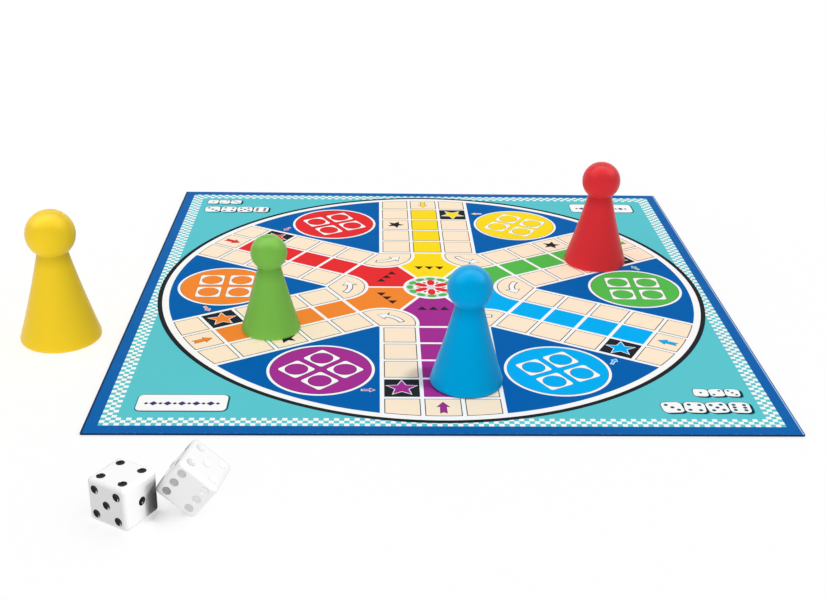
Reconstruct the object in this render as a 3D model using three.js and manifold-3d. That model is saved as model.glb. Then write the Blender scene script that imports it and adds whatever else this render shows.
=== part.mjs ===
// Folding board for a six-player race game, with its four pawns and two dice.
// Millimetres, +Z up. The origin is the middle of the board's underside, on the fold.
// The two halves fold away from the printed face, about the fold line along X.

import * as THREE from 'three';
import { mergeVertices } from 'three/addons/utils/BufferGeometryUtils.js';
import { RoundedBoxGeometry } from 'three/addons/geometries/RoundedBoxGeometry.js';
import Module from 'manifold-3d';

const wasm = await Module();
wasm.setup();

// Board: two greyboard panels in a turned-over cover, with a printed sheet let into the face
const boardWidth = 270;
const coreThickness = 0.7;
const coverThickness = 0.15;
const borderWidth = 5.5;
const foldSlit = 0.3;
const mitreSlit = 0.2;
const tapeWidth = 30;

// Pawns: one moulding in the four sizes that stand on and beside the board
const pawnHeight = 50;
const pawnBaseRadius = 14.7;
const pawnNeckRadius = 5.55;
const pawnHeadRadius = 8.95;
const pawnFootHeight = 1.5;
const pawnFootRound = 0.7;
const pawnFlankSag = 0.35;
const pawnWall = 1.5;
const pawnBesideGap = 9.2;

// Dice: a cube with rounded edges and dished pips
const dieEdge = 16;
const dieRound = 1.6;
const pipRadius = 1.6;
const pipDepth = 0.6;
const pipPitch = 4.6;
const diceToBoard = 50.4;
const dieTurn = THREE.MathUtils.degToRad(-31);
const leaningTurn = THREE.MathUtils.degToRad(-12);
const leaningTilt = THREE.MathUtils.degToRad(52);

// Clearances, and the overrun by which a cutter passes the face that it cuts
const seatGap = 0.3;
const overrun = 1;

// Steps on round forms
const pawnSides = 40;
const headSteps = 11;
const flankSteps = 4;
const roundSteps = 3;
const pipSides = 14;

// Places on the board, as shares of its side
const pawns = [
  { name: 'pawn_green', colour: 0x68b238, sizeShare: 0.87, placeShares: [-0.266, -0.17] },
  { name: 'pawn_blue', colour: 0x009bd7, sizeShare: 1, placeShares: [0.038, -0.348] },
  { name: 'pawn_red', colour: 0xcd2d32, sizeShare: 1.03, placeShares: [0.309, 0.126] },
];
const besidePawn = { name: 'pawn_yellow', colour: 0xf0cd2d, sizeShare: 1.15, alongShare: -0.194 };
const diceSideShare = -0.402;
const leaningSlideShare = 0.38;

// Heights of the board's layers. The hinge tape and the cover share the lowest one, and the
// printed sheet and the turned-over cover share the top one, so both faces are flush.
const half = boardWidth / 2;
const coreBottom = coverThickness;
const coreTop = coreBottom + coreThickness;
const boardTop = coreTop + coverThickness;

function material(colour, roughness) {
  return new THREE.MeshStandardMaterial({ color: colour, roughness, metalness: 0 });
}

function part(name, geometry, colour, roughness) {
  const mesh = new THREE.Mesh(geometry, material(colour, roughness));
  mesh.name = name;
  return mesh;
}

// Solids for joining and cutting, and back to a geometry
function solid(geometry) {
  const bare = geometry.clone();
  bare.deleteAttribute('normal');
  bare.deleteAttribute('uv');
  const merged = mergeVertices(bare);
  return new wasm.Manifold(new wasm.Mesh({
    numProp: 3,
    vertProperties: new Float32Array(merged.attributes.position.array),
    triVerts: new Uint32Array(merged.index.array),
  }));
}

function geometryOf(body) {
  const mesh = body.getMesh();
  const geometry = new THREE.BufferGeometry();
  geometry.setAttribute('position', new THREE.BufferAttribute(mesh.vertProperties, 3));
  geometry.setIndex(new THREE.BufferAttribute(mesh.triVerts, 1));
  geometry.computeVertexNormals();
  return geometry;
}

// An outline in plan, raised between two heights
function slab(points, bottom, top) {
  const shape = new THREE.Shape(points.map(([x, y]) => new THREE.Vector2(x, y)));
  const geometry = new THREE.ExtrudeGeometry(shape, { depth: top - bottom, bevelEnabled: false });
  return geometry.translate(0, 0, bottom);
}

function rectangle(halfWidth, nearY, farY) {
  return [[-halfWidth, nearY], [halfWidth, nearY], [halfWidth, farY], [-halfWidth, farY]];
}

// A band round three sides of one half: both ends stop at the fold, the far side is the board's edge
function edgeBand(width, side) {
  const fold = side * foldSlit / 2;
  const outer = side * half;
  const inner = side * (half - width);
  return [
    [-half, fold], [-half, outer], [half, outer], [half, fold],
    [half - width, fold], [half - width, inner], [-half + width, inner], [-half + width, fold],
  ];
}

// The seam in the turned-over cover at one corner, from the border's inner corner outwards
function mitreCut(sideX, sideY) {
  const diagonal = Math.hypot(borderWidth, borderWidth) + overrun;
  const height = coverThickness + overrun;
  const cut = new THREE.BoxGeometry(diagonal, mitreSlit, height);
  cut.rotateZ(Math.atan2(sideY, sideX));
  const middle = half - borderWidth / 2;
  return cut.translate(sideX * middle, sideY * middle, coreTop + height / 2);
}

// The cover of one half: the lining on the back, the paper up the edges, and the border turned
// over on to the face, mitred at the two outer corners
function coverWrap(side) {
  const lining = slab(rectangle(half, side * tapeWidth / 2, side * half), 0, coreBottom);
  const edges = slab(edgeBand(coverThickness, side), coreBottom, boardTop);
  const border = slab(edgeBand(borderWidth, side), coreTop, boardTop);
  return geometryOf(
    solid(lining).add(solid(edges)).add(solid(border))
      .subtract(solid(mitreCut(-1, side)))
      .subtract(solid(mitreCut(1, side))),
  );
}

function panelCore(side) {
  const outer = half - coverThickness;
  return slab(rectangle(outer, side * foldSlit / 2, side * outer), coreBottom, coreTop);
}

function faceSheet(side) {
  const outer = half - borderWidth;
  return slab(rectangle(outer, side * foldSlit / 2, side * outer), coreTop, boardTop);
}

function hingeTape() {
  return slab(rectangle(half, -tapeWidth / 2, tapeWidth / 2), 0, coreBottom);
}

// Points of an arc in a section, from one angle to another
function arc(centreX, centreY, radius, from, to, steps) {
  const points = [];
  for (let step = 0; step <= steps; step += 1) {
    const angle = from + (to - from) * step / steps;
    points.push(new THREE.Vector2(centreX + radius * Math.cos(angle), centreY + radius * Math.sin(angle)));
  }
  return points;
}

// A pawn's section: the hollow from its domed top down to the foot, then the outside from the
// foot up the flank to the neck and over the ball. It starts and ends on the axis.
function pawnSection() {
  const headCentre = pawnHeight - pawnHeadRadius;
  const neckAngle = -Math.acos(pawnNeckRadius / pawnHeadRadius);
  const neckHeight = headCentre + pawnHeadRadius * Math.sin(neckAngle);
  const boreRadius = pawnNeckRadius - pawnWall;
  const footRadius = pawnBaseRadius - pawnWall;

  const hollow = arc(0, headCentre, boreRadius, Math.PI / 2, 0, roundSteps);
  hollow[0].x = 0;
  hollow.push(new THREE.Vector2(boreRadius, neckHeight), new THREE.Vector2(footRadius, 0));

  const foot = arc(pawnBaseRadius - pawnFootRound, pawnFootRound, pawnFootRound, -Math.PI / 2, 0, roundSteps);
  const flankStart = new THREE.Vector2(pawnBaseRadius, pawnFootHeight);
  const flankEnd = new THREE.Vector2(pawnNeckRadius, neckHeight);
  const along = flankEnd.clone().sub(flankStart).normalize();
  const inward = new THREE.Vector2(-along.y, along.x);
  const bow = flankStart.clone().lerp(flankEnd, 0.5).addScaledVector(inward, 2 * pawnFlankSag);
  const flank = new THREE.QuadraticBezierCurve(flankStart, bow, flankEnd).getPoints(flankSteps);

  const head = arc(0, headCentre, pawnHeadRadius, neckAngle, Math.PI / 2, headSteps).slice(1);
  head[head.length - 1].x = 0;
  return [...hollow, ...foot, ...flank, ...head];
}

function pawnGeometry(sizeShare) {
  const geometry = new THREE.LatheGeometry(pawnSection(), pawnSides);
  return geometry.rotateX(Math.PI / 2).scale(sizeShare, sizeShare, sizeShare);
}

// The dish of one pip, a shallow part of a sphere, standing on +Z with its rim at height 0
function pipCutter() {
  const sphereRadius = (pipRadius ** 2 + pipDepth ** 2) / (2 * pipDepth);
  const sphereCentre = sphereRadius - pipDepth;
  const rimAngle = -Math.atan2(sphereCentre, pipRadius);
  const dish = arc(0, sphereCentre, sphereRadius, -Math.PI / 2, rimAngle, roundSteps);
  dish[0].x = 0;
  const section = [...dish, new THREE.Vector2(pipRadius, overrun), new THREE.Vector2(0, overrun)];
  return new THREE.LatheGeometry(section, pipSides).rotateX(Math.PI / 2);
}

// Pip places on a face, counted in pitches from its middle
const pipShares = {
  1: [[0, 0]],
  2: [[-1, -1], [1, 1]],
  3: [[-1, 1], [0, 0], [1, -1]],
  4: [[-1, -1], [-1, 1], [1, -1], [1, 1]],
  5: [[-1, -1], [-1, 1], [0, 0], [1, -1], [1, 1]],
  6: [[-1, -1], [0, -1], [1, -1], [-1, 1], [0, 1], [1, 1]],
};

// Each number's face, by the two turns that carry +Z on to it. Opposite faces add up to seven.
const quarter = Math.PI / 2;
const faceTurns = {
  4: [0, 0], 3: [Math.PI, 0], 5: [quarter, 0], 2: [-quarter, 0], 1: [0, quarter], 6: [0, -quarter],
};

function dieGeometry() {
  const block = new RoundedBoxGeometry(dieEdge, dieEdge, dieEdge, roundSteps, dieRound);
  const cutter = pipCutter();
  let body = solid(block);
  for (const [number, [turnX, turnY]] of Object.entries(faceTurns)) {
    for (const [across, up] of pipShares[number]) {
      const pip = cutter.clone().translate(across * pipPitch, up * pipPitch, dieEdge / 2);
      const turned = number === '6' ? pip.rotateZ(quarter) : pip;
      body = body.subtract(solid(turned.rotateX(turnX).rotateY(turnY)));
    }
  }
  return geometryOf(body);
}

// Die one stands flat. Die two stands on one edge and leans its left edge on die one's corner.
function placeDice(first, second) {
  const flat = dieEdge / 2 - dieRound;
  first.position.set(diceSideShare * boardWidth, -half - diceToBoard, dieEdge / 2);
  first.rotation.z = dieTurn;

  const reach = flat * (Math.sin(leaningTilt) + Math.cos(leaningTilt)) + dieRound;
  const corner = new THREE.Vector3(flat, flat, 0).applyEuler(first.rotation).add(first.position);
  const across = new THREE.Vector3(Math.cos(leaningTurn), Math.sin(leaningTurn), 0);
  const back = new THREE.Vector3(-across.y, across.x, 0);
  const centre = corner.addScaledVector(across, dieRound + seatGap + reach);
  centre.addScaledVector(back, leaningSlideShare * dieEdge);

  const stand = new THREE.Group();
  stand.position.set(centre.x, centre.y, reach);
  stand.rotation.z = quarter + leaningTurn;
  second.rotation.x = -leaningTilt;
  stand.add(second);
  return stand;
}

const object = new THREE.Group();

for (const [end, side] of [['front', -1], ['back', 1]]) {
  object.add(
    part(`panel_core_${end}`, panelCore(side), 0x968c7d, 0.95),
    part(`cover_wrap_${end}`, coverWrap(side), 0x115daa, 0.5),
    part(`face_sheet_${end}`, faceSheet(side), 0x5cc6cf, 0.4),
  );
}
object.add(part('hinge_tape', hingeTape(), 0x123a66, 0.85));

for (const { name, colour, sizeShare, placeShares } of pawns) {
  const pawn = part(name, pawnGeometry(sizeShare), colour, 0.3);
  pawn.position.set(placeShares[0] * boardWidth, placeShares[1] * boardWidth, boardTop + seatGap);
  object.add(pawn);
}

const beside = part(besidePawn.name, pawnGeometry(besidePawn.sizeShare), besidePawn.colour, 0.3);
const besideX = -half - pawnBesideGap - pawnBaseRadius * besidePawn.sizeShare;
beside.position.set(besideX, besidePawn.alongShare * boardWidth, 0);
object.add(beside);

const dieShape = dieGeometry();
const dieOne = part('die_one', dieShape, 0xf4f4f2, 0.3);
const dieTwo = part('die_two', dieShape, 0xf4f4f2, 0.3);
object.add(dieOne, placeDice(dieOne, dieTwo));

export default object;
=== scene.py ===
import math

import bmesh
import bpy
from mathutils import Matrix, Vector


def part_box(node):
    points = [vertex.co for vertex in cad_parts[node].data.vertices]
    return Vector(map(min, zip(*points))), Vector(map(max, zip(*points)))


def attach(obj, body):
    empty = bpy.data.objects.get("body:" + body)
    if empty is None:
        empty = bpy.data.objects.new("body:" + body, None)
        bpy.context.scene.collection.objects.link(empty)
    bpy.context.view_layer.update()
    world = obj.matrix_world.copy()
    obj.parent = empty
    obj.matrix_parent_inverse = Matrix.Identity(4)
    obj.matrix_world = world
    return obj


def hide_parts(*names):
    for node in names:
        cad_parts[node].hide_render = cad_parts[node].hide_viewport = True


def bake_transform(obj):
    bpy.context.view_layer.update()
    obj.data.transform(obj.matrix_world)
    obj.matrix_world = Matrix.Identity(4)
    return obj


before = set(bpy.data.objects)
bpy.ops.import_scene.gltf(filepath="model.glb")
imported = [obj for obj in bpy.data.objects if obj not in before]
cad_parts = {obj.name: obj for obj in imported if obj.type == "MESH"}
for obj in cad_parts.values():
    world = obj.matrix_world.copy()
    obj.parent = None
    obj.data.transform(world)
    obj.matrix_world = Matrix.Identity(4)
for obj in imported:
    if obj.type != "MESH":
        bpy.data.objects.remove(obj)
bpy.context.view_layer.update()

# The looks of a folding board for a six-player race game, with its four pawns and two dice.
# Sizes are millimetres until a mesh is finished, and metres from there on.

MM = 0.001

# Sizes of the pieces

BOARD = 270.0
BOARD_TOP = 1.0
COVER = 0.15
BORDER = 5.5
CORNER_ROUND = 0.6
UPPER_ROUND = 0.42
LOWER_ROUND = 0.3
MITRE_SEAM = 0.08
FOLD_HAIR = 0.02
TAPE = 30.0
TAPE_END_GAP = 0.1
BEND, BEND_SPREAD, BEND_CUTS = 0.9, 1.3, 12
# How much sooner the left and right edges are reached, for the wear and for the painted shade
SIDE_WEAR_AND_SHADE_SHIFT = 0.3
# A painted highlight line along the right edge: how far in it lies, and its half width
PAINTED_HIGHLIGHT_IN, PAINTED_HIGHLIGHT_HALF = 0.85, 0.24
# Painted shade along the left edge and on the walls: where each starts and how it fades
PAINTED_SHADE_LINE_IN, PAINTED_SHADE_LINE_FADE = 0.9, 0.1
WALL_SHADE_FROM, WALL_SHADE_TO = 0.16, 0.1
THREAD = 0.42
BANDS_PER_UNIT = 20
TOUCH = 1e-3

PAWN_HEIGHT = 50.0
PAWN_BASE = 14.7
PAWN_NECK = 5.55
PAWN_HEAD = 8.95
PAWN_FOOT = 1.5
PAWN_FOOT_ROUND = 0.7
PAWN_SAG = 0.35
PAWN_WALL = 1.5
NECK_DROP = math.sqrt(PAWN_HEAD ** 2 - PAWN_NECK ** 2)
NECK_HEIGHT = PAWN_HEIGHT - PAWN_HEAD - NECK_DROP
PAWN_TURNS = 96
HEAD_STEPS, FLANK_STEPS, FOOT_STEPS, DOME_STEPS = 28, 12, 6, 8
# Painted shade on a pawn's cone just below the head: where it stops as a share of the height, its fade,
# how far down it reaches, and its depth
SKIRT_SHARE, SKIRT_FADE = 0.69, 0.8
NECK_REACH, NECK_SHADE = 7.0, 0.24
NECK_FILLET = 0.3

DIE = 16.0
DIE_ROUND = 1.6
PIP = 1.6
PIP_DEPTH = 0.6
PIP_PITCH = 4.6
PIP_PAINT, PIP_LIP = 0.03, 0.02
# Painted light on the second die's grey pips, which pale towards one side: how far before the die it
# starts, the share across where it ends, and how pale at most
PAINTED_LIGHT_BEFORE, PAINTED_LIGHT_SHARE, MOST_PAINTED_LIGHT = 2.0, 0.75, 0.97
DIE_ONE_TURN = math.radians(-31)
DIE_TWO_TURN = math.radians(-12)
DIE_TWO_TILT = math.radians(52)
CARD_WIDTH, CARD_HEIGHT, CARD_GAP, CARD_OPEN = 7.0, 13.0, 0.3, 17.0

# Sizes, players and inks of the printed face

LAYER = 0.02
CHECKS = 133
CHECK_ROWS = 3
BLACK_RING = 127.2
GROUND = 125.1
FIELD = 122.1
FIELD_EDGE = 24.53
CELL_ARC = 122.0
LANE = 7.16
SIDE_NEAR, SIDE_FAR = 8.73, 22.81
ROW_START, ROW_PITCH, ROW_DEPTH, ROWS = 44.33, 16.05, 14.44, 4
OUTER_ROW = 108.5
LINE = 0.36
HOME_REACH = 42.53
JUNCTION_AT, JUNCTION, JUNCTION_GROUND = 45.74, 14.44, 16.05
JUNCTION_EDGE, GROUND_EDGE = 42.5, 43.3
DIVIDER = 0.8
HUB, HUB_PICTURE = 13.24, 11.9
APEX = 49.07
BASE_AT, BASE_RIM, BASE = 97.2, 22.07, 20.86
FRAME, FRAME_CORNER, FRAME_AT, SPOT, KEYLINE = 11.23, 1.2, 7.02, 4.81, 0.2
STAR_RIM, STAR, STAR_WAIST = 6.9, 6.1, 0.45
SAFE_STAR, SAFE_STAR_TURN = 4.8, 12.0
PLATE, PLATE_CORNER, HALO = (34.6, 12.4), 2.2, 0.55
PLATES = [(-100.7, -112.1), (100.2, 112.1)]
HALO_SHIFT = 0.2
LOZENGE_SIDES, LOZENGE_PITCH, LOZENGE_DROP = (2.3, 1.3), 2.75, 0.6
ARM_STEP = 60
# The colour whose squares have dark lines, and the most area that the rim of a square's inset has
LINED, RIM_AREA = "yellow", 20
TURNING_INNER, TURNING_OUTER, TURNING_HEAD, TURNING_TIP = 9.65, 11.75, 3.0, 4.0
TURNING_FROM, TURNING_TO, TURNING_DRIFT, TURNING_RIM = 143, 193, 0.5, 0.42
HOME_MARK, HOME_MARK_AT, HOME_MARK_PITCH = [(-1.9, 0), (1.9, 2.2), (1.9, -2.2)], 23.7, 5.1
ICON_ROUND, ICON_SHADOW, ICON_RIM, ICON_PIP, ICON_PIP_PITCH = 0.26, 0.8, 0.3, 0.1, 0.25

# Straight arrows: length, head, head's length, shaft, notch
ENTRY_ARROW, ENTRY_AT, ENTRY_SHRINK = (9.0, 5.3, 3.9, 2.6, 0.9), 115.5, -0.25
SIDE_ARROW, SIDE_AT, SIDE_SHRINK = (5.8, 3.4, 2.4, 1.4, 0.0), (101.5, -29.1), -0.3

ICON_ROWS = [
    # side, gap, counts, how each leans
    (5.9, 0.46, (1, 2, 3), (-5, 4, -4)),
    (8.2, 0.644, (3, 4, 5, 6), (4, -4, 5, -3)),
]
ICON_STARTS = [((100.3, -102.7), (85.1, -114.6)), ((-120.4, 117.6), (-120.4, 105.6))]

ROSETTE = [
    # ink, length, width, distance from the middle, how many, first turn, layer
    ("green", 3.2, 4.4, 10.0, 12, 0, 8),
    ("white", 7.0, 4.4, 5.2, 6, 0, 8),
    ("red", 6.6, 3.6, 5.4, 6, 30, 9),
    ("brown", 2.2, 1.1, 6.0, 6, 0, 9),
]
EYE = 2.4

HALVES = {"front": -1, "back": 1}

PLAYERS = {
    # colour: arm's angle, base's angle, base's turn, has a safe star
    "yellow": (90, 60, 60, True),
    "green": (30, 0, 0, True),
    "light_blue": (-30, -60, -60, False),
    "purple": (-90, -120, 45, True),
    "orange": (210, 180, 180, True),
    "red": (150, 120, 120, False),
}

PIP_PLACES = {
    1: [(0, 0)],
    2: [(-1, -1), (1, 1)],
    3: [(-1, 1), (0, 0), (1, -1)],
    4: [(-1, -1), (-1, 1), (1, -1), (1, 1)],
    5: [(-1, -1), (-1, 1), (0, 0), (1, -1), (1, 1)],
    6: [(-1, -1), (-1, 0), (-1, 1), (1, -1), (1, 0), (1, 1)],
}


def srgb(red, green, blue):
    """A screen colour as the linear colour that a shader takes."""
    def linear(part):
        part /= 255
        return part / 12.92 if part <= 0.04045 else ((part + 0.055) / 1.055) ** 2.4
    return (linear(red), linear(green), linear(blue), 1.0)


INKS = {
    "teal": srgb(92, 198, 207),
    "deep_teal": srgb(20, 88, 108),
    "white": srgb(250, 250, 249),
    "black": srgb(34, 38, 43),
    "field_blue": srgb(2, 96, 173),
    "beige": srgb(254, 233, 206),
    "line": srgb(48, 40, 38),
    "red": srgb(232, 47, 51),
    "yellow": srgb(253, 221, 30),
    "green": srgb(86, 187, 79),
    "light_blue": srgb(0, 175, 243),
    "purple": srgb(165, 48, 146),
    "orange": srgb(244, 137, 50),
    "indigo": srgb(62, 56, 122),
    "lilac": srgb(226, 220, 232),
    "brown": srgb(150, 92, 84),
}


# Materials

def plug(node, inputs):
    """Sets a node's inputs to values, or links them to other nodes' outputs."""
    for name, value in inputs.items():
        if isinstance(value, bpy.types.NodeSocket):
            node.id_data.links.new(value, node.inputs[name])
        else:
            node.inputs[name].default_value = value


def add(tree, kind, inputs=None, **settings):
    """One node, with its settings and inputs."""
    made = tree.nodes.new("ShaderNode" + kind)
    for name, value in settings.items():
        setattr(made, name, value)
    plug(made, inputs or {})
    return made


def effect(name, inputs, outputs):
    """An empty effect group with its sockets."""
    tree = bpy.data.node_groups.new(name, "ShaderNodeTree")
    for label, kind, value in inputs:
        socket = tree.interface.new_socket(label, in_out="INPUT", socket_type="NodeSocket" + kind)
        socket.default_value = value
    for label, kind in outputs:
        tree.interface.new_socket(label, in_out="OUTPUT", socket_type="NodeSocket" + kind)
    return tree, tree.nodes.new("NodeGroupInput"), tree.nodes.new("NodeGroupOutput")


def place_on(tree):
    """The piece's own coordinates, in metres."""
    return tree.nodes.new("ShaderNodeTexCoord").outputs["Object"]


def noise(tree, grain, detail=2.0, roughness=0.5, stretch=None):
    """Noise whose grain is a size in millimetres, on the piece's own coordinates."""
    where = place_on(tree)
    if stretch:
        where = add(tree, "Mapping", {"Vector": where, "Scale": stretch}).outputs["Vector"]
    return add(tree, "TexNoise", {
        "Vector": where, "Scale": 1 / (grain * MM), "Detail": detail, "Roughness": roughness,
    }).outputs["Fac"]


def spread(tree, value, low, high):
    """Noise runs mostly from 0.3 to 0.7: this brings that to a range."""
    return add(tree, "MapRange", {
        "Value": value, "From Min": 0.3, "From Max": 0.7, "To Min": low, "To Max": high,
    }).outputs["Result"]


def reckon(tree, kind, first, second, clamp=False):
    """Two numbers put together by a Math node."""
    return add(tree, "Math", {0: first, 1: second}, operation=kind, use_clamp=clamp).outputs[0]


def mask(tree, value, start, end, most=1.0, **settings):
    """0 before the start, rising to the most at the end."""
    return add(tree, "MapRange", {
        "Value": value, "From Min": start, "From Max": end, "To Max": most,
    }, **settings).outputs["Result"]


def shaded(tree, colour, amount):
    """A colour made lighter or darker by a factor round 1."""
    return add(tree, "VectorMath", {0: colour, 1: amount}, operation="MULTIPLY").outputs["Vector"]


def mottled(tree, colour, value, middle, strength):
    """A colour that drifts with a noise, which runs round its middle."""
    centred = reckon(tree, "SUBTRACT", value, middle)
    scaled = reckon(tree, "MULTIPLY", centred, strength)
    return shaded(tree, colour, reckon(tree, "ADD", scaled, 1.0))


def mixed(tree, factor, first, second):
    """One colour over another by a mask."""
    made = add(tree, "Mix", {"Factor": factor, 6: first, 7: second}, data_type="RGBA")
    return made.outputs[2]


def relief(tree, strength, depth, height):
    """A normal that follows a height; the depth is in millimetres."""
    made = add(tree, "Bump", {"Strength": strength, "Distance": depth * MM, "Height": height})
    return made.outputs["Normal"]


def print_grain():
    """Printed and laminated paper: fine mottle, slow drift of the ink, and the paper's tooth."""
    tree, given, out = effect("print_grain", [
        ("Color", "Color", (1, 1, 1, 1)), ("Mottle", "Float", 0.03), ("Tooth", "Float", 0.25),
    ], [("Color", "Color"), ("Roughness", "Float"), ("Normal", "Vector")])
    both = reckon(tree, "ADD", noise(tree, grain=0.45, detail=3.0), noise(tree, grain=35))
    patches = noise(tree, grain=6, detail=3.0)
    plug(out, {
        "Color": mottled(tree, given.outputs["Color"], both, 1.0, given.outputs["Mottle"]),
        "Roughness": spread(tree, patches, low=0.5, high=0.62),
        "Normal": relief(tree, given.outputs["Tooth"], 0.01, noise(tree, grain=0.3)),
    })
    return tree


def moulded_plastic():
    """Moulded plastic: slow flow marks, a very fine skin, and faint handling marks."""
    tree, given, out = effect("moulded_plastic", [
        ("Color", "Color", (1, 1, 1, 1)), ("Flow", "Float", 0.05), ("Skin", "Float", 0.2),
        ("Gloss Low", "Float", 0.25), ("Gloss High", "Float", 0.35),
    ], [("Color", "Color"), ("Roughness", "Float"), ("Normal", "Vector")])
    flow = noise(tree, grain=9, stretch=(1.0, 1.0, 0.35))
    marks = noise(tree, grain=2.5, detail=4.0, roughness=0.6)
    gloss = add(tree, "MapRange", {
        "Value": marks, "From Min": 0.35, "From Max": 0.65,
        "To Min": given.outputs["Gloss Low"], "To Max": given.outputs["Gloss High"],
    }).outputs["Result"]
    plug(out, {
        "Color": mottled(tree, given.outputs["Color"], flow, 0.5, given.outputs["Flow"]),
        "Roughness": gloss,
        "Normal": relief(tree, given.outputs["Skin"], 0.01, noise(tree, grain=0.5)),
    })
    return tree


def edge_wear_and_painted_light():
    """Where the board's outer edges are rubbed pale, with a painted highlight line along the right edge,
    and painted shade on its walls and along its left edge.
    """
    tree, given, out = effect("edge_wear_and_painted_light", [
        ("Half Width", "Float", BOARD / 2 * MM), ("Reach", "Float", 0.6 * MM),
    ], [("Wear And Painted Highlight", "Float"), ("Painted Shade", "Float")])
    where = add(tree, "SeparateXYZ", {0: place_on(tree)})
    across = [reckon(tree, "ABSOLUTE", where.outputs[axis], 0.0) for axis in "XY"]
    sides = reckon(tree, "ADD", across[0], SIDE_WEAR_AND_SHADE_SHIFT * MM)
    far = reckon(tree, "MAXIMUM", sides, across[1])
    inset = reckon(tree, "SUBTRACT", given.outputs["Half Width"], far)
    near = reckon(tree, "DIVIDE", inset, given.outputs["Reach"])
    edge = reckon(tree, "SUBTRACT", 1.0, near, clamp=True)
    scuffs = noise(tree, grain=1.2, detail=4.0, roughness=0.65)
    broken = mask(tree, scuffs, 0.5, 0.7, most=0.3)
    rub = reckon(tree, "MULTIPLY", edge, broken, clamp=True)
    # A painted highlight line just inside the right edge
    from_line = reckon(tree, "SUBTRACT", where.outputs["X"], (BOARD / 2 - PAINTED_HIGHLIGHT_IN) * MM)
    beside = reckon(tree, "ABSOLUTE", from_line, 0.0)
    line = mask(tree, beside, PAINTED_HIGHLIGHT_HALF * MM, PAINTED_HIGHLIGHT_HALF * 0.6 * MM)
    # Painted shade on the walls, and a painted dark line along the left edge
    painted_wall_shade = mask(tree, inset, WALL_SHADE_FROM * MM, WALL_SHADE_TO * MM)
    painted_shade_from = BOARD / 2 - PAINTED_SHADE_LINE_IN
    left = mask(tree, where.outputs["X"], -(painted_shade_from - PAINTED_SHADE_LINE_FADE) * MM, -painted_shade_from * MM)
    plug(out, {
        "Wear And Painted Highlight": reckon(tree, "MAXIMUM", rub, line, clamp=True),
        "Painted Shade": reckon(tree, "MAXIMUM", painted_wall_shade, left),
    })
    return tree


GROUPS = {"print": print_grain(), "plastic": moulded_plastic(), "rub": edge_wear_and_painted_light()}


def material(name, specular):
    """A new material: its tree and its main shader."""
    made = bpy.data.materials.new(name)
    made.use_nodes = True
    shader = made.node_tree.nodes["Principled BSDF"]
    plug(shader, {"Specular IOR Level": specular})
    return made, made.node_tree, shader


def place_group(tree, group, **inputs):
    made = tree.nodes.new("ShaderNodeGroup")
    made.node_tree = GROUPS[group]
    plug(made, {name.replace("_", " "): value for name, value in inputs.items()})
    return made


def join(source, shader):
    """Links an effect's colour, roughness and normal to the main shader."""
    finish = {name: source.outputs[name] for name in ("Roughness", "Normal")}
    plug(shader, {"Base Color": source.outputs["Color"], **finish})


def printed_ink(name, colour):
    made, tree, shader = material("ink_" + name, 0.01)
    join(place_group(tree, "print", Color=colour, Mottle=0.05), shader)
    return made


def sheet_paper():
    made, tree, shader = material("sheet_paper", 0.12)
    join(place_group(tree, "print", Color=srgb(246, 245, 240), Mottle=0.06, Tooth=0.4), shader)
    return made


def cover_paper():
    made, tree, shader = material("cover_paper", 0.03)
    grain = place_group(tree, "print", Color=srgb(8, 97, 172), Mottle=0.06, Tooth=0.3)
    join(grain, shader)
    rub = place_group(tree, "rub")
    # Pale rubs of wear near the edges, and a painted highlight line along the right edge
    pale = mixed(tree, rub.outputs["Wear And Painted Highlight"], grain.outputs["Color"], srgb(176, 200, 236))
    # Painted shade on the walls and along the left edge
    plug(shader, {"Base Color": mixed(tree, rub.outputs["Painted Shade"], pale, srgb(22, 52, 88))})
    return made


def greyboard():
    """Grey pulp with lying fibres and darker flecks."""
    made, tree, shader = material("greyboard", 0.1)
    fibres = noise(tree, grain=0.35, detail=5.0, roughness=0.7, stretch=(0.25, 0.25, 1.0))
    flecks = noise(tree, grain=1.1, detail=3.0, roughness=0.7)
    tone = add(tree, "ValToRGB", {"Fac": fibres})
    for stop, place, colour in zip(tone.color_ramp.elements, (0.3, 0.7),
                                   (srgb(168, 160, 148), srgb(216, 209, 196))):
        stop.position = place
        stop.color = colour
    pulp = mixed(tree, mask(tree, flecks, 0.62, 0.72), tone.outputs["Color"], srgb(120, 112, 104))
    plug(shader, {
        "Base Color": pulp,
        "Roughness": spread(tree, fibres, low=0.85, high=0.98),
        "Normal": relief(tree, 0.5, 0.04, fibres),
    })
    return made


def book_cloth():
    """Woven book cloth: threads both ways, over and under."""
    made, tree, shader = material("book_cloth", 0.15)
    threads = [add(tree, "TexWave", {
        "Vector": place_on(tree), "Scale": 1 / (THREAD * MM) / BANDS_PER_UNIT, "Distortion": 0.6,
        "Detail": 1.0, "Detail Scale": 6.0,
    }, bands_direction=direction).outputs["Fac"] for direction in "XY"]
    height = reckon(tree, "MULTIPLY", threads[0], threads[1])
    slub = noise(tree, grain=2.2, detail=3.0, roughness=0.6, stretch=(0.15, 1.0, 1.0))
    tone = mixed(tree, height, srgb(16, 40, 72), srgb(38, 78, 124))
    plug(shader, {
        "Base Color": shaded(tree, tone, spread(tree, slub, low=0.86, high=1.12)),
        "Roughness": spread(tree, height, low=0.92, high=0.78),
        "Normal": relief(tree, 0.6, 0.05, height),
    })
    return made


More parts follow.
